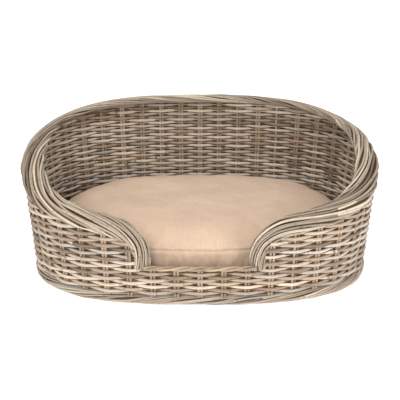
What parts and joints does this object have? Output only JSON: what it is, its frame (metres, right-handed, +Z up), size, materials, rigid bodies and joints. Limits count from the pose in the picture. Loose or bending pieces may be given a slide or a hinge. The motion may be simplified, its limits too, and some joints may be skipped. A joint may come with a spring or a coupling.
{
  "type": "pet bed basket",
  "caption": "Oval woven rattan pet bed with a low front entry, a thick rolled rim that sweeps up to the back, and a lift-out domed cushion with a zipped cover.",
  "frame": {"origin": "on the floor, at the centre of the outline's length and depth", "axes": "+X along the length, +Y towards the high back, so the entry faces -Y, +Z up"},
  "size_m": [0.8478, 0.5584, 0.3469],
  "materials": {
    "border_cane": "matte",
    "peeled_pole": "satin",
    "grey_rattan": "matte",
    "brown_cane": "satin",
    "canvas": "matte",
    "liner_film": "gloss",
    "fibre_filling": "matte",
    "zip_tape": "matte",
    "zip_metal": "satin"
  },
  "bodies": {
    "basket": {"rim_border": "border_cane", "rim_pole": "peeled_pole", "lower_weave": "grey_rattan", "middle_weave": "grey_rattan", "upper_weave": "grey_rattan", "entry_edge": "brown_cane", "foot_border": "border_cane", "base_hoop": "peeled_pole", "crossing_stakes_01": "brown_cane", "crossing_stakes_02": "brown_cane", "crossing_stakes_03": "brown_cane", "crossing_stakes_04": "brown_cane", "crossing_stakes_05": "brown_cane", "crossing_stakes_06": "brown_cane", "crossing_stakes_07": "brown_cane", "crossing_stakes_08": "brown_cane", "crossing_stakes_09": "brown_cane", "crossing_stakes_10": "brown_cane", "crossing_stakes_11": "brown_cane", "crossing_stakes_12": "brown_cane", "crossing_stakes_13": "brown_cane", "right_end_stakes_01": "brown_cane", "right_end_stakes_02": "brown_cane", "right_end_stakes_03": "brown_cane", "right_end_stakes_04": "brown_cane", "right_end_stakes_05": "brown_cane", "right_end_stakes_06": "brown_cane", "right_end_stakes_07": "brown_cane", "right_end_stakes_08": "brown_cane", "left_end_stakes_01": "brown_cane", "left_end_stakes_02": "brown_cane", "left_end_stakes_03": "brown_cane", "left_end_stakes_04": "brown_cane", "left_end_stakes_05": "brown_cane", "left_end_stakes_06": "brown_cane", "left_end_stakes_07": "brown_cane", "left_end_stakes_08": "brown_cane", "base_weave": "grey_rattan"},
    "cushion": {"cover_top_panel": "canvas", "cover_bottom_panel": "canvas", "cover_side_band": "canvas", "liner_top": "liner_film", "liner_bottom": "liner_film", "cushion_filling": "fibre_filling", "zip_tape_lower": "zip_tape", "zip_tape_upper": "zip_tape"},
    "zip_slider": {"zip_slider": "zip_metal"},
    "zip_pull": {"zip_pull": "zip_metal"}
  },
  "joints": [
    {"name": "cushion_lift", "type": "slide", "parent": "basket", "child": "cushion", "axis": [0, 0, 1], "range_m": [0, 0.4]},
    {"name": "zip_travel", "type": "hinge", "parent": "cushion", "child": "zip_slider", "pos_m": [0, -0.80639, 0.0612], "axis": [0, 0, 1], "range_deg": [0, 18.8]},
    {"name": "zip_pull_swing", "type": "hinge", "parent": "zip_slider", "child": "zip_pull", "pos_m": [0.16726, 0.20393, 0.06115], "axis": [0, 0, 1], "range_deg": [0, 160]}
  ]
}
